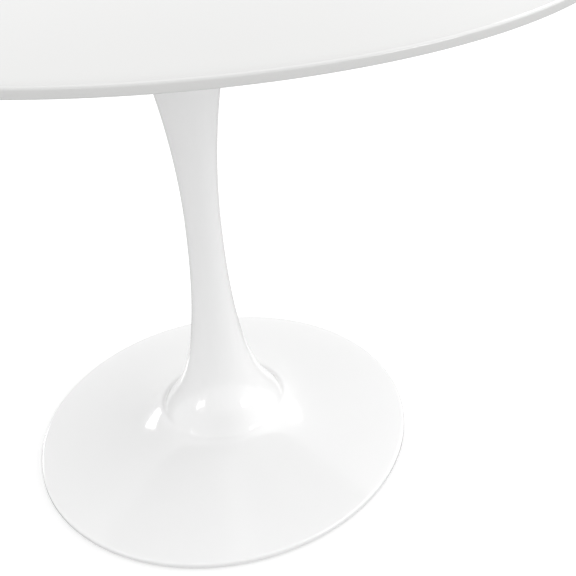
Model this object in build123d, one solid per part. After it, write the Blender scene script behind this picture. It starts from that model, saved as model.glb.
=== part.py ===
from build123d import *
from math import atan2, cos, degrees, radians, sin, sqrt, tan
import os

# Round pedestal table. The origin is on the floor, under the middle of the table, and +Z is up.
# Every length is in millimetres and every angle in degrees. Threads are plain cylinders.

# Table top: one lacquered board with an upright lip and a bevel under it.
table_height = 737.0
top_diameter = 1000.0
top_thickness = 25.0
lip_height = 9.0
lip_round = 2.6
lip_lower_round = 1.0
bevel_width = 62.0
bevel_round = 12.0

# Pedestal: one hollow casting, a shallow dome that flares up to a slim waist and out again to a neck.
base_diameter = 530.0
rim_gap = 2.5
rim_height = 8.0
rim_round = 3.6
rim_lower_round = 1.0
dome_slope = 9.0
dome_reach = 72.0
foot_diameter = 168.0
foot_height = 54.2
foot_slope = 60.0
foot_reach = 32.0
flare_reach = 34.0
foot_reach_growth = 0.7
flare_reach_growth = 0.5
waist_diameter = 46.8
waist_height = 350.0
waist_reach = 241.5
neck_diameter = 172.0
casting_wall = 6.0

# The web inside the pedestal's foot, which the clamp pulls on, and the bored land in its neck.
web_height = 80.0
web_thickness = 12.0
land_depth = 12.0
land_width = 17.0

# Mounting spider: the cast cross between the pedestal and the top.
spider_thickness = 6.0
spider_hub_margin = 3.0
spider_reach = 232.0
arm_root_width = 54.0
arm_tip_width = 34.0
spigot_depth = 8.0
spigot_wall = 9.0
rod_boss_diameter = 32.0
rod_boss_depth = 20.0
rib_width = 6.0
arm_chamfer = 1.2
arm_count = 4
inner_screw_gap = 30.0

# Screws from the spider up into the top, with their washers and threaded inserts.
screw_diameter = 6.0
screw_length = 18.0
screw_head_diameter = 11.0
screw_head_height = 3.4
screw_head_face = 6.6
screw_head_crown = 0.7
screw_key_flats = 4.0
screw_key_depth = 2.2
screw_washer_diameter = 13.0
screw_washer_thickness = 1.2
insert_diameter = 10.0
insert_length = 13.0

# Tie rod down the stem, and the clamp that pulls the pedestal up against the spider.
rod_diameter = 12.0
rod_shank_diameter = 10.8
rod_thread_length = 64.0
rod_tail = 7.0
rod_head_gap = 1.0
nut_flats = 19.0
nut_corner_slope = 30.0
nut_face_inset = 0.3
clamp_nut_height = 10.8
jam_nut_height = 6.0
clamp_plate_diameter = 92.0
clamp_plate_thickness = 5.0
clamp_plate_dish = 10.0
clamp_washer_diameter = 28.0
clamp_washer_thickness = 2.5
lock_washer_diameter = 21.0
lock_washer_thickness = 2.8
lock_washer_split = 2.4
lock_washer_lean = 35.0

# Levelling glides: a key-turned stud in a tapped boss, held in a pad with a soft sole.
glide_count = 4
glide_inset = 70.0
boss_diameter = 22.0
boss_gap = 7.6
stud_diameter = 8.0
stud_engagement = 8.6
tapped_depth = 9.4
stud_head_diameter = 12.0
stud_head_height = 2.0
stud_key_flats = 4.0
stud_key_depth = 4.0
pad_diameter = 32.0
pad_round = 1.4
sole_diameter = 29.0
sole_thickness = 2.0
sole_hole_diameter = 8.4
pad_rise = 6.2

# Fits.
thread_clearance = 0.05
running_clearance = 0.05
hole_clearance = 0.5
spigot_clearance = 0.15
head_float = 0.2
end_chamfer = 1.0
edge_search = 0.1

top_radius = top_diameter / 2
base_radius = base_diameter / 2
waist_radius = waist_diameter / 2
neck_radius = neck_diameter / 2
underside = table_height - top_thickness
pedestal_top = underside - spider_thickness
bore_radius = neck_radius - land_width
clamp_plate_face = web_height - clamp_plate_thickness
clamp_washer_face = clamp_plate_face - clamp_washer_thickness
lock_washer_face = clamp_washer_face - lock_washer_thickness
clamp_nut_face = lock_washer_face - clamp_nut_height
rod_boss_face = pedestal_top - rod_boss_depth
glide_circle = base_radius - glide_inset
inner_screw_circle = neck_radius + inner_screw_gap
outer_screw_circle = spider_reach - arm_tip_width / 2
arm_angles = [360 / arm_count * number for number in range(arm_count)]
glide_angles = [360 / glide_count * (number + 0.5) for number in range(glide_count)]


def post(radius, low, high):
    """A round post about the vertical axis, from one height to another."""
    return Pos(0, 0, low) * extrude(Circle(radius), high - low)


def turned(*edges):
    """A solid of revolution about the vertical axis, from edges drawn as (radius, height)."""
    return revolve(Plane.XZ * make_face(edges), Axis.Z)


def around(radius, angles):
    """Places on a circle about the vertical axis, each turned to face outwards."""
    return [Rot(0, 0, angle) * Pos(radius, 0, 0) for angle in angles]


def key_socket(flats, low, depth):
    """The hexagonal hole that a key fits, open downwards at the height low."""
    return Pos(0, 0, low) * extrude(RegularPolygon(flats / sqrt(3), 6), depth)


def screw_places():
    """The two rings of screws that hold the spider to the top."""
    return around(inner_screw_circle, arm_angles) + around(outer_screw_circle, arm_angles)


def hex_nut(flats, bore, low, height):
    """A hexagon nut with its corners turned off at both faces."""
    corner = flats / sqrt(3)
    trim = corner - flats / 2 + nut_face_inset
    blank = Pos(0, 0, low) * extrude(RegularPolygon(corner, 6), height)
    cylinder = post(corner, low, low + height)
    turning = chamfer(cylinder.edges(), trim * tan(radians(nut_corner_slope)), trim)
    return (blank & turning) - post(bore / 2, low, low + height)


def table_top():
    """The board: a flat disc with a soft arris above its lip and a bevel below it."""
    outline = Polyline(
        (0, underside),
        (0, table_height),
        (top_radius, table_height),
        (top_radius, table_height - lip_height),
        (top_radius - bevel_width, underside),
        close=True,
    )
    section = make_face(outline)
    for corner, size in (
        ((top_radius, table_height), lip_round),
        ((top_radius, table_height - lip_height), lip_lower_round),
        ((top_radius - bevel_width, underside), bevel_round),
    ):
        nearest = section.vertices().sort_by_distance(corner)[0]
        section = fillet(nearest, size)
    board = revolve(Plane.XZ * section, Axis.Z)
    pocket_radius = insert_diameter / 2 + thread_clearance
    pocket = post(pocket_radius, underside, underside + insert_length + hole_clearance)
    return board - [place * pocket for place in screw_places()]


def threaded_inserts():
    """Steel sleeves pressed into the board, flush with its underside."""
    sleeve = post(insert_diameter / 2, underside, underside + insert_length)
    sleeve -= post(screw_diameter / 2 + thread_clearance, underside, underside + insert_length)
    return [place * sleeve for place in screw_places()]


def spider_screws():
    """Domed hexagon-key screws, up through the spider's arms into the inserts."""
    seat = pedestal_top - screw_washer_thickness
    low = seat - screw_head_height
    face_rim = (screw_head_face / 2, low)
    seat_rim = (screw_head_diameter / 2, seat)
    head = turned(
        Line((0, low), face_rim),
        SagittaArc(face_rim, seat_rim, -screw_head_crown),
        Line(seat_rim, (0, seat)),
        Line((0, seat), (0, low)),
    )
    head -= key_socket(screw_key_flats, low, screw_key_depth)
    shank = post(screw_diameter / 2, seat, seat + screw_length)
    shank = chamfer(shank.faces().sort_by(Axis.Z)[-1].edges(), end_chamfer)
    screw = head + shank
    return [place * screw for place in screw_places()]


def spider_washers():
    """Flat washers between the screws' heads and the spider's arms."""
    low = pedestal_top - screw_washer_thickness
    washer = post(screw_washer_diameter / 2, low, pedestal_top)
    washer -= post((screw_diameter + hole_clearance) / 2, low, pedestal_top)
    return [place * washer for place in screw_places()]


def spider_arm():
    """One arm: a tapering flat bar with a round end, drawn along +X."""
    bar = Polygon(
        (0, -arm_root_width / 2),
        (outer_screw_circle, -arm_tip_width / 2),
        (outer_screw_circle, arm_tip_width / 2),
        (0, arm_root_width / 2),
        align=None,
    )
    return bar + Pos(outer_screw_circle, 0) * Circle(arm_tip_width / 2)


def mounting_spider():
    """The cross: a hub disc and four arms, with a spigot below that centres it in the neck."""
    plate = Circle(neck_radius - spider_hub_margin)
    for angle in arm_angles:
        plate += Rot(0, 0, angle) * spider_arm()
    spider = Pos(0, 0, pedestal_top) * extrude(plate, spider_thickness)
    low_edges = spider.edges().filter_by_position(
        Axis.Z,
        pedestal_top - edge_search,
        pedestal_top + edge_search,
    )
    spider = chamfer(low_edges, arm_chamfer)
    spigot_radius = bore_radius - spigot_clearance
    spigot_face = pedestal_top - spigot_depth
    spigot = post(spigot_radius, spigot_face, pedestal_top)
    spigot -= post(spigot_radius - spigot_wall, spigot_face, pedestal_top)
    rib_length = spigot_radius - spigot_wall / 2
    rib_seat = (Align.MIN, Align.CENTER, Align.MAX)
    rib = Pos(0, 0, pedestal_top) * Box(rib_length, rib_width, spigot_depth, align=rib_seat)
    spigot += [Rot(0, 0, angle) * rib for angle in arm_angles]
    boss = post(rod_boss_diameter / 2, rod_boss_face, pedestal_top)
    spider = spider + spigot + boss
    spider -= post(rod_diameter / 2 + thread_clearance, rod_boss_face, underside)
    clearance_hole = post((screw_diameter + hole_clearance) / 2, pedestal_top, underside)
    return spider - [place * clearance_hole for place in screw_places()]


def flared(inset):
    """The dome, flare and neck curves of the casting, moved in from its outside by inset."""
    neck_bend = (waist_height + pedestal_top) / 2
    neck_angle = degrees(atan2(pedestal_top - neck_bend, waist_radius - neck_radius))

    def at(radius, height, angle):
        return (radius - inset * sin(radians(angle)), height - inset * cos(radians(angle)))

    below_foot = foot_reach + foot_reach_growth * inset
    above_foot = flare_reach + flare_reach_growth * inset
    rim_centre = base_radius - rim_round
    rim_radius = rim_centre + rim_round * sin(radians(dome_slope))
    rim_top = rim_gap + rim_height - rim_round * (1 - cos(radians(dome_slope)))
    dome = Bezier(
        at(rim_radius, rim_top, dome_slope),
        at(
            rim_radius - dome_reach * cos(radians(dome_slope)),
            rim_top + dome_reach * sin(radians(dome_slope)),
            dome_slope,
        ),
        at(
            foot_diameter / 2 + below_foot * cos(radians(foot_slope)),
            foot_height - below_foot * sin(radians(foot_slope)),
            foot_slope,
        ),
        at(foot_diameter / 2, foot_height, foot_slope),
    )
    flare = Bezier(
        dome @ 1,
        at(
            foot_diameter / 2 - above_foot * cos(radians(foot_slope)),
            foot_height + above_foot * sin(radians(foot_slope)),
            foot_slope,
        ),
        at(waist_radius, waist_height - waist_reach, 90),
        at(waist_radius, waist_height, 90),
    )
    neck = Bezier(
        flare @ 1,
        at(waist_radius, neck_bend, 90),
        at(neck_radius, pedestal_top, neck_angle),
    )
    return dome, flare, neck


def pedestal_outside():
    """The casting's outer shape, as if it were solid."""
    dome, flare, neck = flared(0)
    upper_centre = rim_gap + rim_height - rim_round
    lower_centre = rim_gap + rim_lower_round
    return turned(
        Line((0, rim_gap), (base_radius - rim_lower_round, rim_gap)),
        CenterArc((base_radius - rim_lower_round, lower_centre), rim_lower_round, -90, 90),
        Line((base_radius, lower_centre), (base_radius, upper_centre)),
        CenterArc((base_radius - rim_round, upper_centre), rim_round, 0, 90 - dome_slope),
        dome,
        flare,
        neck,
        Line(neck @ 1, (0, pedestal_top)),
        Line((0, pedestal_top), (0, rim_gap)),
    )


def pedestal_core():
    """The hollow inside the casting, open at the floor and at the neck."""
    dome, flare, neck = flared(casting_wall)
    rim = dome @ 0
    mouth = neck @ 1
    return turned(
        Line((0, 0), (rim.X, 0)),
        Line((rim.X, 0), rim),
        dome,
        flare,
        neck,
        Line(mouth, (0, mouth.Y)),
        Line((0, mouth.Y), (0, 0)),
    )


def pedestal():
    """The casting: a shell with a clamping web, a bored land in its neck and four tapped bosses."""
    outside = pedestal_outside()
    web = post(base_radius, web_height, web_height + web_thickness)
    web -= post((rod_diameter + hole_clearance) / 2, web_height, web_height + web_thickness)
    land = post(base_radius, pedestal_top - land_depth, pedestal_top)
    land -= post(bore_radius, pedestal_top - land_depth, pedestal_top)
    boss = post(boss_diameter / 2, boss_gap, web_height)
    bosses = [place * boss for place in around(glide_circle, glide_angles)]
    casting = outside - pedestal_core() + (outside & web) + (outside & land)
    for boss in bosses:
        casting += outside & boss
    tapped = post(stud_diameter / 2 + thread_clearance, boss_gap, boss_gap + tapped_depth)
    return casting - [place * tapped for place in around(glide_circle, glide_angles)]


def tie_rod():
    """The steel rod down the stem, with a threaded length at each end."""
    low = clamp_nut_face - rod_tail
    high = underside - rod_head_gap
    rod = chamfer(post(rod_diameter / 2, low, high).edges(), end_chamfer)
    thin = post(rod_diameter, low + rod_thread_length, high - rod_thread_length)
    thin -= post(rod_shank_diameter / 2, low, high)
    return rod - thin


def rod_jam_nut():
    """The thin nut that locks the rod in the spider's boss."""
    bore = rod_diameter + 2 * thread_clearance
    return hex_nut(nut_flats, bore, rod_boss_face - jam_nut_height, jam_nut_height)


def clamp_plate():
    """The steel disc that bears on the web, with its rim dished down for stiffness."""
    edge = clamp_plate_diameter / 2
    flat = edge - clamp_plate_dish
    half = clamp_plate_thickness / 2
    plate = turned(
        Line((0, clamp_plate_face), (flat, clamp_plate_face)),
        Line((flat, clamp_plate_face), (edge, clamp_plate_face - half)),
        Line((edge, clamp_plate_face - half), (edge, clamp_plate_face + half)),
        Line((edge, clamp_plate_face + half), (flat, web_height)),
        Line((flat, web_height), (0, web_height)),
        Line((0, web_height), (0, clamp_plate_face)),
    )
    return plate - post((rod_diameter + hole_clearance) / 2, clamp_plate_face, web_height)


def clamp_washer():
    """The flat washer under the clamp plate."""
    washer = post(clamp_washer_diameter / 2, clamp_washer_face, clamp_plate_face)
    return washer - post((rod_diameter + hole_clearance) / 2, clamp_washer_face, clamp_plate_face)


def clamp_lock_washer():
    """The split spring washer, squeezed flat."""
    washer = post(lock_washer_diameter / 2, lock_washer_face, clamp_washer_face)
    washer -= post((rod_diameter + hole_clearance) / 2, lock_washer_face, clamp_washer_face)
    split = Plane.YZ * Rectangle(lock_washer_split, lock_washer_diameter)
    split = Rot(lock_washer_lean, 0, 0) * extrude(split, lock_washer_diameter)
    return washer - Pos(0, 0, (lock_washer_face + clamp_washer_face) / 2) * split


def clamp_nut():
    """The nut that draws the whole table together."""
    return hex_nut(nut_flats, rod_diameter + 2 * thread_clearance, clamp_nut_face, clamp_nut_height)


def glide_stud(place):
    """The levelling stud: a threaded shank on a round head, with a key socket from below."""
    low = sole_thickness + head_float
    head = post(stud_head_diameter / 2, low, low + stud_head_height)
    shank = post(stud_diameter / 2, low, boss_gap + stud_engagement)
    shank = chamfer(shank.faces().sort_by(Axis.Z)[-1].edges(), end_chamfer)
    return place * (head + shank - key_socket(stud_key_flats, low, stud_key_depth))


def glide_pad(place):
    """The moulded pad, which holds the stud's head between its shoulder and the sole."""
    pad = post(pad_diameter / 2, sole_thickness, pad_rise)
    pad = fillet(pad.faces().sort_by(Axis.Z)[-1].edges(), pad_round)
    shoulder = sole_thickness + head_float + stud_head_height + running_clearance
    pad -= post(stud_head_diameter / 2 + running_clearance, sole_thickness, shoulder)
    return place * (pad - post(stud_diameter / 2 + running_clearance, shoulder, pad_rise))


def glide_sole(place):
    """The soft ring that stands on the floor."""
    sole = post(sole_diameter / 2, 0, sole_thickness)
    return place * (sole - post(sole_hole_diameter / 2, 0, sole_thickness))


def write(name, shape):
    """Writes one piece, or one group of like pieces, as its own file."""
    whole = Compound(children=shape) if isinstance(shape, list) else shape
    export_step(whole, f"parts/{name}.step")


os.makedirs("parts", exist_ok=True)
for make in (
    table_top,
    threaded_inserts,
    spider_screws,
    spider_washers,
    mounting_spider,
    pedestal,
    tie_rod,
    rod_jam_nut,
    clamp_plate,
    clamp_washer,
    clamp_lock_washer,
    clamp_nut,
):
    write(make.__name__, make())
for number, place in enumerate(around(glide_circle, glide_angles), 1):
    for make in (glide_stud, glide_pad, glide_sole):
        write(f"{make.__name__}_{number}", make(place))
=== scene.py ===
import bmesh
import bpy
from math import atan2, cos, degrees, hypot, pi, radians, sin, tan
from mathutils import Euler, Matrix, Vector
from mathutils.geometry import interpolate_bezier


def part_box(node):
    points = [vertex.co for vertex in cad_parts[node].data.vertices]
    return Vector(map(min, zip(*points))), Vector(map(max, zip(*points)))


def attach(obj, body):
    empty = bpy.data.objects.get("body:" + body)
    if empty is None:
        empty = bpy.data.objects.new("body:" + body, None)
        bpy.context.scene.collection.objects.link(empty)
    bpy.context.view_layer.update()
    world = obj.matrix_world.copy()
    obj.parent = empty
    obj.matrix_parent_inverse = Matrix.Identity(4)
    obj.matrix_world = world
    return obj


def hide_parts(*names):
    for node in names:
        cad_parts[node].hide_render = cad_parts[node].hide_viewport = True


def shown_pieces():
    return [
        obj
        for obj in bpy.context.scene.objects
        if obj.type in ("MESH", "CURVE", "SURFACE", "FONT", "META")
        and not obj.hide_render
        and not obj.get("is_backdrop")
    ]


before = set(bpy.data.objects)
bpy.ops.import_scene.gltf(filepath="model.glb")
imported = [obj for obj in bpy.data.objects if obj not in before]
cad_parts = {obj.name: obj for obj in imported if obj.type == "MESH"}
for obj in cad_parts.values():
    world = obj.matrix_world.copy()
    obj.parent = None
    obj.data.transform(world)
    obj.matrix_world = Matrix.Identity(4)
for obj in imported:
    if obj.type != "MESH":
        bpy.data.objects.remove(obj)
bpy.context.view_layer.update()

bl_info = {
    "name": "Round pedestal table",
    "version": (1, 0, 0),
    "blender": (4, 5, 0),
    "location": "3D View > Sidebar > Table",
    "description": "Builds a lacquered round table on a cast pedestal, with its clamp and levelling glides",
    "category": "Add Mesh",
}

# Places read from the frame, in metres. Z is up and the table's axis is the Z axis.
MM = 0.001
BOARD_LOW, BOARD_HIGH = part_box("table_top")
CASTING_LOW, CASTING_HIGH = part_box("pedestal")
WEB_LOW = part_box("clamp_plate")[1].z
UNDERSIDE = BOARD_LOW.z
TABLE_HEIGHT = BOARD_HIGH.z
NECK_TOP = CASTING_HIGH.z
GLIDES = [n for n in sorted(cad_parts) if n.startswith("glide_stud_")]

# How finely round shapes are drawn.
HERO_STEPS = 256
SMALL_STEPS = 64
ARC_STEPS = 8
CURVE_STEPS = 50
SHARP = radians(32)

# How much the curves' reaches at the foot grow for each millimetre that the casting's inside lies in.
FOOT_REACH_GROWTH = 0.7
FLARE_REACH_GROWTH = 0.5

# Light. The room is soft light that differs by side, in a low band and a middle band, and overhead.
ROOM_SIDES = (
    # axis, sign, strength of the low band, strength of the middle band
    ("X", -1, 1.30, 1.25),
    ("X", 1, 1.73, 1.90),
    ("Y", -1, 1.36, 0.54),
    ("Y", 1, 0.97, 0.71),
)
ROOM_ABOVE = 1.27
LOW_BAND_ENDS = (0.25, 0.50)
MIDDLE_BAND_ENDS = (0.75, 0.95)
ROOM_SEEN = 1.05
FLOOR_SEEN = 0.59
AIM_HEIGHT = 50 * MM
SOFTBOXES = (
    # name, direction, distance, width, height, radiance, roll in degrees, whether the top mirrors it
    ("key_window", (-0.575, 0.736, 0.358), 6.0, 0.80, 2.5, 8.0, 0, False),
    ("small_lamp", (-0.835, -0.522, 0.174), 6.0, 2.0, 0.6, 4.5, 0, True),
    ("long_strip", (0.732, -0.637, 0.242), 6.0, 2.1, 0.6, 8.0, -15, True),
    ("right_window", (0.616, 0.555, 0.559), 6.0, 1.2, 2.2, 8.0, 0, True),
)

# Camera: its place in metres, its turns in degrees, and its shift as a share of the frame.
CAMERA_PLACE = (0, -1.0954, 0.9590)
CAMERA_TURN = -12.327
CAMERA_DIP = 29.621
CAMERA_ROLL = -0.724
CAMERA_SHIFT = (-0.161, -0.118)


def linear(hex_colour):
    """The linear colour of an sRGB hex value."""
    levels = [int(hex_colour[i : i + 2], 16) / 255 for i in (1, 3, 5)]
    return [c / 12.92 if c <= 0.04045 else ((c + 0.055) / 1.055) ** 2.4 for c in levels] + [1.0]


def length_property(name, description, millimetres):
    """A size of the table that a user can change, given in millimetres and kept in metres."""
    return bpy.props.FloatProperty(
        name=name, description=description, default=millimetres * MM, min=0.0, unit="LENGTH", precision=4
    )


def angle_property(name, description, turn):
    """An angle of the table that a user can change, given in degrees."""
    return bpy.props.FloatProperty(
        name=name, description=description, default=radians(turn), unit="ROTATION"
    )


def colour_property(name, description, hex_colour):
    """A colour that a user can change, as linear RGBA."""
    return bpy.props.FloatVectorProperty(
        name=name,
        description=description,
        default=linear(hex_colour),
        size=4,
        min=0.0,
        max=1.0,
        subtype="COLOR",
    )


class PEDESTALTABLE_PG_board(bpy.types.PropertyGroup):
    """Sizes and colour of the table top."""

    lip_height: length_property("Lip height", "Height of the upright edge", 9.0)
    lip_round: length_property("Arris", "Radius of the edge above the lip", 2.6)
    lip_lower_round: length_property("Lower arris", "Radius of the edge below the lip", 1.0)
    bevel_width: length_property("Bevel width", "How far the bevel under the edge reaches in", 62.0)
    bevel_round: length_property("Bevel round", "Radius where the bevel meets the flat underside", 12.0)
    # The top's colour is a light grey, darker than its white lacquer: the difference is painted shade on
    # the top.
    lacquer: colour_property("Lacquer", "Colour of the polyurethane lacquer", "#DBDBDA")


class PEDESTALTABLE_PG_casting(bpy.types.PropertyGroup):
    """Sizes and colour of the cast pedestal."""

    rim_height: length_property("Rim height", "Height of the upright rim at the floor", 8.0)
    rim_round: length_property("Rim round", "Radius above the rim", 3.6)
    rim_lower_round: length_property("Rim lower round", "Radius below the rim", 1.0)
    dome_slope: angle_property("Dome slope", "Slope of the dome at its rim", 9)
    dome_reach: length_property("Dome reach", "How far the rim's slope carries in", 72.0)
    foot_radius: length_property("Foot radius", "Radius where the dome turns into the flare", 84.0)
    foot_height: length_property("Foot height", "Height where the dome turns into the flare", 54.2)
    foot_slope: angle_property("Foot slope", "Slope where the dome turns into the flare", 60)
    foot_reach: length_property("Foot reach", "How far the foot's slope carries out", 32.0)
    flare_reach: length_property("Flare reach", "How far the foot's slope carries up", 34.0)
    waist_radius: length_property("Waist radius", "Radius of the stem at its slimmest", 23.4)
    waist_height: length_property("Waist height", "Height of the slimmest part", 350.0)
    waist_reach: length_property("Waist reach", "How far the waist's slope carries down", 241.5)
    neck_radius: length_property("Neck radius", "Radius of the neck under the top", 86.0)
    wall: length_property("Wall", "Thickness of the casting", 6.0)
    web_thickness: length_property("Web", "Thickness of the clamping web in the foot", 12.0)
    land_depth: length_property("Land depth", "Depth of the bored land in the neck", 12.0)
    land_width: length_property("Land width", "Width of the bored land in the neck", 17.0)
    rod_hole_radius: length_property("Rod hole", "Radius of the rod's hole in the web", 6.25)
    boss_radius: length_property("Boss", "Radius of the tapped bosses for the glides", 11.0)
    boss_foot: length_property("Boss foot", "Height of the bosses' lower faces", 7.6)
    tapping_radius: length_property("Tapping", "Radius of the bosses' tapped holes", 4.05)
    tapping_depth: length_property("Tapping depth", "Depth of the bosses' tapped holes", 9.4)
    # The pedestal's colour is brighter than its white powder coat: the difference is painted light on the
    # casting, which stands in the top's shade.
    coat_and_painted_light: colour_property("Powder coat", "Colour of the powder coat", "#FCFCFC")


class PEDESTALTABLE_PG_stage(bpy.types.PropertyGroup):
    """The floor, the lights and the camera."""

    floor_radius: bpy.props.FloatProperty(
        name="Floor radius", description="Radius of the pale floor", default=30.0, unit="LENGTH"
    )
    floor_tone: colour_property("Floor", "Colour of the pale floor", "#BCBCBC")
    lens: bpy.props.FloatProperty(name="Lens", description="Focal length in millimetres", default=58.52)


def turned(bm, outline, steps, centre=(0.0, 0.0)):
    """Adds a closed solid of revolution to a bmesh: an outline of (radius, height) about a centre."""
    x, y = centre
    rim = [bm.verts.new((x + r, y, z)) for r, z in outline]
    edges = [bm.edges.new((rim[i - 1], rim[i])) for i in range(len(rim))]
    bmesh.ops.spin(
        bm,
        geom=rim + edges,
        cent=(x, y, 0),
        axis=(0, 0, 1),
        angle=2 * pi,
        steps=steps,
        use_merge=True,
        use_normal_flip=False,
        use_duplicate=False,
    )
    bmesh.ops.remove_doubles(bm, verts=bm.verts, dist=MM / 1000)
    bmesh.ops.dissolve_degenerate(bm, dist=MM / 1000, edges=bm.edges)


def finished(bm, name):
    """The object of a bmesh, with its faces outwards, smooth where they bend and crisp at real edges."""
    bmesh.ops.recalc_face_normals(bm, faces=bm.faces)
    mesh = bpy.data.meshes.new(name)
    bm.to_mesh(mesh)
    bm.free()
    mesh.shade_smooth()
    mesh.set_sharp_from_angle(angle=SHARP)
    piece = bpy.data.objects.new(name, mesh)
    bpy.context.scene.collection.objects.link(piece)
    return piece


def arc(centre, radius, start, turn):
    """Points of an arc about a centre, from a start angle through a turn, in degrees."""
    angles = [radians(start + turn * i / ARC_STEPS) for i in range(ARC_STEPS + 1)]
    return [(centre[0] + radius * cos(a), centre[1] + radius * sin(a)) for a in angles]


def curve(start, first, second, end):
    """Points of a cubic curve between two ends and their two handles."""
    knots = [Vector((r, z, 0)) for r, z in (start, first, second, end)]
    points = interpolate_bezier(*knots, CURVE_STEPS + 1)
    return [(p.x, p.y) for p in points]


def rounded(before, corner, after, radius):
    """Points of the arc that rounds a corner between two straight sides."""
    here, back, on = Vector(corner), Vector(before), Vector(after)
    a, b = (back - here).normalized(), (on - here).normalized()
    half = a.angle(b) / 2
    centre = here + (a + b).normalized() * radius / sin(half)
    start, end = here + a * radius / tan(half), here + b * radius / tan(half)
    first, last = (atan2(p.y - centre.y, p.x - centre.x) for p in (start, end))
    turn = (last - first + pi) % (2 * pi) - pi
    angles = [first + turn * i / ARC_STEPS for i in range(ARC_STEPS + 1)]
    return [(centre.x + radius * cos(t), centre.y + radius * sin(t)) for t in angles]


def board_outline(sizes):
    """The top's section, from the middle of its face out over the lip and back under the bevel."""
    radius = BOARD_HIGH.x
    face, below = (0.0, TABLE_HEIGHT), (0.0, UNDERSIDE)
    arris = (radius, TABLE_HEIGHT)
    lip = (radius, TABLE_HEIGHT - sizes.lip_height)
    bevel = (radius - sizes.bevel_width, UNDERSIDE)
    return [
        below,
        face,
        *[(radius * share, TABLE_HEIGHT) for share in (0.25, 0.5, 0.75, 0.97)],
        *rounded(face, arris, lip, sizes.lip_round),
        *rounded(arris, lip, bevel, sizes.lip_lower_round),
        *rounded(lip, bevel, below, sizes.bevel_round),
        *[(radius * share, UNDERSIDE) for share in (0.6, 0.3)],
    ]


def casting_curves(sizes, inset):
    """The dome, the flare and the neck of the casting, moved in from its outside by an inset."""
    below_foot = sizes.foot_reach + FOOT_REACH_GROWTH * inset
    above_foot = sizes.flare_reach + FLARE_REACH_GROWTH * inset
    neck_bend = (sizes.waist_height + NECK_TOP) / 2
    neck_angle = atan2(NECK_TOP - neck_bend, sizes.waist_radius - sizes.neck_radius)
    rim_radius = CASTING_HIGH.x - sizes.rim_round * (1 - sin(sizes.dome_slope))
    rim_top = CASTING_LOW.z + sizes.rim_height - sizes.rim_round * (1 - cos(sizes.dome_slope))

    def at(radius, height, angle):
        return (radius - inset * sin(angle), height - inset * cos(angle))

    foot = at(sizes.foot_radius, sizes.foot_height, sizes.foot_slope)
    waist = at(sizes.waist_radius, sizes.waist_height, pi / 2)
    bend = at(sizes.waist_radius, neck_bend, pi / 2)
    mouth = at(sizes.neck_radius, NECK_TOP, neck_angle)
    dome = curve(
        at(rim_radius, rim_top, sizes.dome_slope),
        at(
            rim_radius - sizes.dome_reach * cos(sizes.dome_slope),
            rim_top + sizes.dome_reach * sin(sizes.dome_slope),
            sizes.dome_slope,
        ),
        at(
            sizes.foot_radius + below_foot * cos(sizes.foot_slope),
            sizes.foot_height - below_foot * sin(sizes.foot_slope),
            sizes.foot_slope,
        ),
        foot,
    )
    flare = curve(
        foot,
        at(
            sizes.foot_radius - above_foot * cos(sizes.foot_slope),
            sizes.foot_height + above_foot * sin(sizes.foot_slope),
            sizes.foot_slope,
        ),
        at(sizes.waist_radius, sizes.waist_height - sizes.waist_reach, pi / 2),
        waist,
    )
    towards_waist = tuple(w + (b - w) * 2 / 3 for w, b in zip(waist, bend))
    towards_mouth = tuple(m + (b - m) * 2 / 3 for m, b in zip(mouth, bend))
    neck = curve(waist, towards_waist, towards_mouth, mouth)
    return dome + flare[1:] + neck[1:]


def casting_outline(sizes):
    """The pedestal's section: outside from the rim up to the neck, then back down the inside."""
    radius, low = CASTING_HIGH.x, CASTING_LOW.z
    upper, lower = sizes.rim_round, sizes.rim_lower_round
    slope = degrees(sizes.dome_slope)
    outside = casting_curves(sizes, 0)
    inside = list(reversed(casting_curves(sizes, sizes.wall)))
    bore = sizes.neck_radius - sizes.land_width
    land = NECK_TOP - sizes.land_depth
    web_high = WEB_LOW + sizes.web_thickness
    return [
        *arc((radius - lower, low + lower), lower, -90, 90),
        *arc((radius - upper, low + sizes.rim_height - upper), upper, 0, 90 - slope),
        *outside[1:],
        (bore, NECK_TOP),
        (bore, land),
        crossing(inside, land),
        *[p for p in inside if web_high + MM < p[1] < land - MM],
        crossing(inside, web_high),
        (sizes.rod_hole_radius, web_high),
        (sizes.rod_hole_radius, WEB_LOW),
        crossing(inside, WEB_LOW),
        *[p for p in inside if p[1] < WEB_LOW - MM],
        (inside[-1][0], low),
    ]


def boss_outline(sizes, stud):
    """The section of a tapped boss under the dome, from its open foot up into the casting's wall."""
    reach = hypot(stud.x, stud.y)
    dome = [(z, r) for r, z in casting_curves(sizes, sizes.wall / 2)]
    top = crossing(dome, reach)[0]
    return [
        (sizes.tapping_radius, sizes.boss_foot),
        (sizes.boss_radius, sizes.boss_foot),
        (sizes.boss_radius, top),
        (0.0, top),
        (0.0, sizes.boss_foot + sizes.tapping_depth),
        (sizes.tapping_radius, sizes.boss_foot + sizes.tapping_depth),
    ]


def crossing(line, height):
    """Where a line of points crosses a height."""
    for (r1, z1), (r2, z2) in zip(line, line[1:]):
        if min(z1, z2) <= height <= max(z1, z2):
            share = (height - z1) / (z2 - z1)
            return (r1 + (r2 - r1) * share, height)
    raise ValueError("the line doesn't reach that height")


# Materials


def node(tree, kind, settings=None, inputs=None):
    """Adds a node with its settings, and with its inputs set or linked."""
    made = tree.nodes.new(kind)
    for key, value in (settings or {}).items():
        setattr(made, key, value)
    for key, value in (inputs or {}).items():
        if isinstance(value, bpy.types.NodeSocket):
            tree.links.new(value, made.inputs[key])
        else:
            made.inputs[key].default_value = value
    return made


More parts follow.
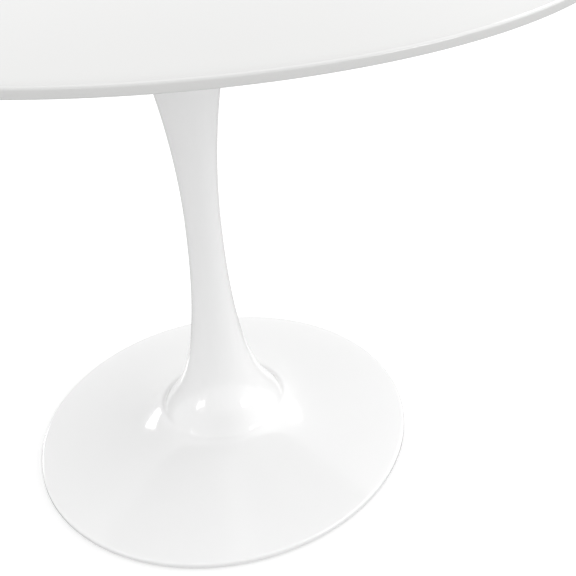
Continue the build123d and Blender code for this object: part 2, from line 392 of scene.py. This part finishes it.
def surface(name, shader):
    """A new material with a Principled shader: itself, its tree, the shader and Object coordinates."""
    material = bpy.data.materials.new(name)
    material.use_nodes = True
    tree = material.node_tree
    tree.nodes.clear()
    principled = node(tree, "ShaderNodeBsdfPrincipled", inputs=shader)
    node(tree, "ShaderNodeOutputMaterial", inputs={"Surface": principled.outputs["BSDF"]})
    place = node(tree, "ShaderNodeTexCoord").outputs["Object"]
    return material, tree, principled, place


def grain(tree, place, size, detail=2.0, rough=0.5):
    """Noise whose blobs are about this size, in metres."""
    return node(
        tree,
        "ShaderNodeTexNoise",
        {"noise_dimensions": "3D"},
        {"Vector": place, "Scale": 1 / size, "Detail": detail, "Roughness": rough},
    ).outputs["Fac"]


def varied(tree, principled, fac, colour, share):
    """Lets the colour drift either side of its own value by a share, following a pattern."""
    low = [c * (1 - share) for c in colour[:3]] + [1.0]
    high = [min(c * (1 + share), 1.0) for c in colour[:3]] + [1.0]
    mix = node(
        tree,
        "ShaderNodeMix",
        {"data_type": "RGBA"},
        {0: fac, 6: low, 7: high},
    )
    tree.links.new(mix.outputs[2], principled.inputs["Base Color"])


def ranged(tree, principled, fac, socket, low, high):
    """Drives a shader's number between two values by a pattern."""
    mapped = node(
        tree,
        "ShaderNodeMapRange",
        inputs={"Value": fac, "From Min": 0.3, "From Max": 0.7, "To Min": low, "To Max": high},
    )
    tree.links.new(mapped.outputs["Result"], principled.inputs[socket])


def bumped(tree, principled, *layers):
    """Stacks bumps, each a pattern with its height in metres and its strength."""
    normal = None
    for fac, height, strength in layers:
        inputs = {"Height": fac, "Distance": height, "Strength": strength}
        if normal is not None:
            inputs["Normal"] = normal
        normal = node(tree, "ShaderNodeBump", inputs=inputs).outputs["Normal"]
    tree.links.new(normal, principled.inputs["Normal"])


def gloss_polyurethane_lacquer(colour):
    """Sprayed gloss polyurethane lacquer, polished, on fibreboard: a deep even white under a clear
    hard skin. The spray leaves a very faint orange peel, about 3 mm from crest to crest."""
    material, tree, principled, place = surface(
        "gloss_polyurethane_lacquer",
        {"Roughness": 0.22, "IOR": 1.5, "Coat Weight": 1.0, "Coat Roughness": 0.05, "Coat IOR": 1.5},
    )
    varied(tree, principled, grain(tree, place, 90 * MM), colour, 0.006)
    peel = grain(tree, place, 3 * MM, 1.0)
    bumped(tree, principled, (peel, 0.02 * MM, 0.12))
    return material


def gloss_powder_coat(colour):
    """Gloss powder coat baked on a linished casting: one thick even skin that rounds every edge.
    It flows to a soft orange peel, about 4 mm from crest to crest, over the casting's slow waves."""
    material, tree, principled, place = surface(
        "gloss_powder_coat", {"IOR": 1.5, "Coat Weight": 0.6, "Coat Roughness": 0.04, "Coat IOR": 1.5}
    )
    varied(tree, principled, grain(tree, place, 120 * MM), colour, 0.008)
    ranged(tree, principled, grain(tree, place, 40 * MM), "Roughness", 0.10, 0.15)
    waves = grain(tree, place, 45 * MM, 0.0)
    peel = grain(tree, place, 4 * MM, 1.0)
    bumped(tree, principled, (waves, 0.15 * MM, 0.15), (peel, 0.03 * MM, 0.15))
    return material


def satin_paint_on_sand_casting():
    """Satin paint on a sand casting: the paint fills the sand's grit, about 0.8 mm, but not its lumps."""
    colour = linear("#ECECEA")
    material, tree, principled, place = surface("satin_paint_on_sand_casting", {"IOR": 1.5})
    lumps = grain(tree, place, 6 * MM)
    grit = grain(tree, place, 0.8 * MM, 3.0)
    varied(tree, principled, grain(tree, place, 30 * MM, 3.0), colour, 0.02)
    ranged(tree, principled, lumps, "Roughness", 0.36, 0.5)
    bumped(tree, principled, (lumps, 0.3 * MM, 0.3), (grit, 0.15 * MM, 0.5))
    return material


def bright_zinc_plated_steel():
    """Bright zinc plate on steel: a bluish silver that clouds a little, with fine drawing marks."""
    colour = linear("#C9CDD1")
    material, tree, principled, place = surface("bright_zinc_plated_steel", {"Metallic": 1.0})
    clouds = grain(tree, place, 5 * MM, 4.0)
    varied(tree, principled, clouds, colour, 0.10)
    ranged(tree, principled, clouds, "Roughness", 0.24, 0.40)
    marks = node(tree, "ShaderNodeMapping", inputs={"Vector": place, "Scale": (1.0, 1.0, 0.08)})
    lines = grain(tree, marks.outputs["Vector"], 0.4 * MM, 2.0)
    bumped(tree, principled, (clouds, 0.02 * MM, 0.3), (lines, 0.02 * MM, 0.4))
    return material


def moulded_nylon():
    """Injection-moulded glass-filled nylon: pale grey, slightly milky, with a spark-eroded grain
    of 0.5 mm."""
    colour = linear("#CFCFC9")
    material, tree, principled, place = surface(
        "moulded_nylon", {"IOR": 1.53, "Subsurface Weight": 0.08, "Subsurface Scale": 1.5 * MM}
    )
    spark = grain(tree, place, 0.5 * MM, 3.0)
    varied(tree, principled, grain(tree, place, 8 * MM, 3.0), colour, 0.03)
    ranged(tree, principled, spark, "Roughness", 0.42, 0.56)
    bumped(tree, principled, (spark, 0.05 * MM, 0.5))
    return material


def moulded_rubber():
    """Compression-moulded rubber: a soft charcoal with scuffed patches and a pebbled skin of 1 mm."""
    colour = linear("#3A3A3A")
    material, tree, principled, place = surface("moulded_rubber", {"IOR": 1.52, "Specular IOR Level": 0.35})
    pebbles = grain(tree, place, 1.0 * MM, 2.0)
    varied(tree, principled, grain(tree, place, 6 * MM, 4.0), colour, 0.25)
    ranged(tree, principled, pebbles, "Roughness", 0.68, 0.85)
    bumped(tree, principled, (pebbles, 0.1 * MM, 0.6))
    return material


def dress(names, material):
    """Gives CAD nodes their finish."""
    for name in names:
        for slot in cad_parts[name].material_slots:
            slot.material = material


class PEDESTALTABLE_OT_board(bpy.types.Operator):
    """Turns the round top and lacquers it"""

    bl_idname = "pedestaltable.board"
    bl_label = "Lacquered top"

    def execute(self, context):
        sizes = context.scene.pedestal_board
        bm = bmesh.new()
        turned(bm, board_outline(sizes), HERO_STEPS)
        board = finished(bm, "lacquered_top")
        # The top gets its lacquer colour greyed as painted shade.
        board.data.materials.append(gloss_polyurethane_lacquer(list(sizes.lacquer)))
        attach(board, "table")
        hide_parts("table_top")
        return {"FINISHED"}


class PEDESTALTABLE_OT_casting(bpy.types.Operator):
    """Turns the hollow pedestal and powder-coats it"""

    bl_idname = "pedestaltable.casting"
    bl_label = "Cast pedestal"

    def execute(self, context):
        sizes = context.scene.pedestal_casting
        bm = bmesh.new()
        turned(bm, casting_outline(sizes), HERO_STEPS)
        for stud in GLIDES:
            low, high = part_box(stud)
            middle = low.lerp(high, 0.5)
            turned(bm, boss_outline(sizes, middle), SMALL_STEPS, middle[:2])
        casting = finished(bm, "cast_pedestal")
        # The casting gets its powder coat colour brightened as painted light.
        casting.data.materials.append(gloss_powder_coat(list(sizes.coat_and_painted_light)))
        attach(casting, "table")
        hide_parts("pedestal")
        return {"FINISHED"}


class PEDESTALTABLE_OT_hardware(bpy.types.Operator):
    """Finishes the spider, the clamp, the screws and the glides"""

    bl_idname = "pedestaltable.hardware"
    bl_label = "Hardware"

    def execute(self, context):
        names = sorted(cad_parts)
        dress(["mounting_spider"], satin_paint_on_sand_casting())
        steel = [n for n in names if n.startswith(("clamp_", "tie_rod", "rod_jam", "glide_stud"))]
        dress(steel + ["threaded_inserts", "spider_screws", "spider_washers"], bright_zinc_plated_steel())
        dress([n for n in names if n.startswith("glide_pad")], moulded_nylon())
        dress([n for n in names if n.startswith("glide_sole")], moulded_rubber())
        return {"FINISHED"}


def softbox(name, direction, distance, width, height, radiance, roll, mirrored):
    """A rectangular light that shows only as a reflection, out in a direction, facing the foot."""
    light = bpy.data.lights.new(name, "AREA")
    light.shape = "RECTANGLE"
    light.size, light.size_y = width, height
    light.energy = radiance * width * height * pi
    lamp = bpy.data.objects.new(name, light)
    out = Vector(direction).normalized()
    lamp.location = out * distance + Vector((0, 0, AIM_HEIGHT))
    turn = out.to_track_quat("Z", "Y") @ Euler((0, 0, radians(roll))).to_quaternion()
    lamp.rotation_euler = turn.to_euler()
    lamp.visible_camera = False
    lamp.visible_diffuse = False
    bpy.context.scene.collection.objects.link(lamp)
    if not mirrored:
        lit = bpy.data.collections.new(name + "_lights")
        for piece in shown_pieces():
            if piece.name != "lacquered_top":
                lit.objects.link(piece)
        lamp.light_linking.receiver_collection = lit


def white_room():
    """A studio world: white to the eye, with soft light that differs by side, by height and overhead."""
    world = bpy.data.worlds.new("white_room")
    world.use_nodes = True
    tree = world.node_tree
    tree.nodes.clear()
    way = node(tree, "ShaderNodeTexCoord").outputs["Generated"]
    rise = node(tree, "ShaderNodeSeparateXYZ", inputs={"Vector": way}).outputs["Z"]
    level = node(tree, "ShaderNodeVectorMath", {"operation": "MULTIPLY"}, {0: way, 1: (1, 1, 0)})
    compass = node(tree, "ShaderNodeVectorMath", {"operation": "NORMALIZE"}, {0: level.outputs["Vector"]})
    axes = node(tree, "ShaderNodeSeparateXYZ", inputs={"Vector": compass.outputs["Vector"]})
    bands = [0.0, 0.0]
    for axis, sign, *strengths in ROOM_SIDES:
        towards = node(
            tree,
            "ShaderNodeMath",
            {"operation": "MULTIPLY", "use_clamp": True},
            {0: axes.outputs[axis], 1: sign},
        ).outputs["Value"]
        share = node(
            tree, "ShaderNodeMath", {"operation": "MULTIPLY"}, {0: towards, 1: towards}
        ).outputs["Value"]
        for i, strength in enumerate(strengths):
            bands[i] = node(
                tree, "ShaderNodeMath", {"operation": "MULTIPLY_ADD"}, {0: share, 1: strength, 2: bands[i]}
            ).outputs["Value"]
    total = bands[0]
    for (start, end), above in ((LOW_BAND_ENDS, bands[1]), (MIDDLE_BAND_ENDS, ROOM_ABOVE)):
        total = node(
            tree,
            "ShaderNodeMapRange",
            {"interpolation_type": "SMOOTHSTEP"},
            {"Value": rise, "From Min": start, "From Max": end, "To Min": total, "To Max": above},
        ).outputs["Result"]
    lit = node(tree, "ShaderNodeBackground", inputs={"Strength": total, "Color": (1, 1, 1, 1)})
    seen = node(tree, "ShaderNodeBackground", inputs={"Strength": ROOM_SEEN, "Color": (1, 1, 1, 1)})
    eye = node(tree, "ShaderNodeLightPath").outputs["Is Camera Ray"]
    mix = node(
        tree,
        "ShaderNodeMixShader",
        inputs={0: eye, 1: lit.outputs["Background"], 2: seen.outputs["Background"]},
    )
    node(tree, "ShaderNodeOutputWorld", inputs={"Surface": mix.outputs["Shader"]})
    bpy.context.scene.world = world


def pale_floor(colour):
    """A painted studio floor, lifted to the eye so that only a faint shadow shows on it."""
    material = bpy.data.materials.new("pale_studio_floor")
    material.use_nodes = True
    tree = material.node_tree
    tree.nodes.clear()
    eye = node(tree, "ShaderNodeLightPath").outputs["Is Camera Ray"]
    lift = node(
        tree, "ShaderNodeMath", {"operation": "MULTIPLY"}, {0: eye, 1: FLOOR_SEEN}
    ).outputs["Value"]
    paint = node(tree, "ShaderNodeBsdfDiffuse", inputs={"Color": colour})
    glow = node(tree, "ShaderNodeEmission", inputs={"Color": (1, 1, 1, 1), "Strength": lift})
    both = node(
        tree, "ShaderNodeAddShader", inputs={0: paint.outputs["BSDF"], 1: glow.outputs["Emission"]}
    )
    node(tree, "ShaderNodeOutputMaterial", inputs={"Surface": both.outputs["Shader"]})
    return material


class PEDESTALTABLE_OT_stage(bpy.types.Operator):
    """Lays the pale floor and sets the soft lights and the camera"""

    bl_idname = "pedestaltable.stage"
    bl_label = "Stage"

    def execute(self, context):
        stage = context.scene.pedestal_stage
        bm = bmesh.new()
        bmesh.ops.create_circle(bm, cap_ends=True, segments=SMALL_STEPS, radius=stage.floor_radius)
        floor = finished(bm, "floor")
        floor.data.materials.append(pale_floor(list(stage.floor_tone)))
        floor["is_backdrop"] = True
        white_room()
        for each in SOFTBOXES:
            softbox(*each)
        camera = bpy.data.cameras.new("camera")
        camera.lens = stage.lens
        camera.shift_x, camera.shift_y = CAMERA_SHIFT
        eye = bpy.data.objects.new("camera", camera)
        turn = Matrix.Rotation(radians(CAMERA_TURN), 4, "Z")
        pitch = Matrix.Rotation(radians(90 - CAMERA_DIP), 4, "X")
        roll = Matrix.Rotation(radians(CAMERA_ROLL), 4, "Z")
        eye.matrix_world = Matrix.Translation(CAMERA_PLACE) @ turn @ pitch @ roll
        context.scene.collection.objects.link(eye)
        context.scene.camera = eye
        context.scene.view_settings.view_transform = "Standard"
        return {"FINISHED"}


class PEDESTALTABLE_PT_panel(bpy.types.Panel):
    """The table's operators and sizes in the sidebar"""

    bl_idname = "PEDESTALTABLE_PT_panel"
    bl_label = "Round pedestal table"
    bl_space_type = "VIEW_3D"
    bl_region_type = "UI"
    bl_category = "Table"

    def draw(self, context):
        for group, operator in (
            (context.scene.pedestal_board, PEDESTALTABLE_OT_board),
            (context.scene.pedestal_casting, PEDESTALTABLE_OT_casting),
            (None, PEDESTALTABLE_OT_hardware),
            (context.scene.pedestal_stage, PEDESTALTABLE_OT_stage),
        ):
            box = self.layout.box()
            box.operator(operator.bl_idname)
            for name in group.__annotations__ if group else ():
                box.prop(group, name)


GROUPS = {
    "pedestal_board": PEDESTALTABLE_PG_board,
    "pedestal_casting": PEDESTALTABLE_PG_casting,
    "pedestal_stage": PEDESTALTABLE_PG_stage,
}
CLASSES = (
    *GROUPS.values(),
    PEDESTALTABLE_OT_board,
    PEDESTALTABLE_OT_casting,
    PEDESTALTABLE_OT_hardware,
    PEDESTALTABLE_OT_stage,
    PEDESTALTABLE_PT_panel,
)


def register():
    for each in CLASSES:
        bpy.utils.register_class(each)
    for name, group in GROUPS.items():
        setattr(bpy.types.Scene, name, bpy.props.PointerProperty(type=group))


def unregister():
    for name in GROUPS:
        delattr(bpy.types.Scene, name)
    for each in reversed(CLASSES):
        bpy.utils.unregister_class(each)


def main():
    register()
    bpy.ops.pedestaltable.board()
    bpy.ops.pedestaltable.casting()
    bpy.ops.pedestaltable.hardware()
    bpy.ops.pedestaltable.stage()


if __name__ == "__main__":
    main()
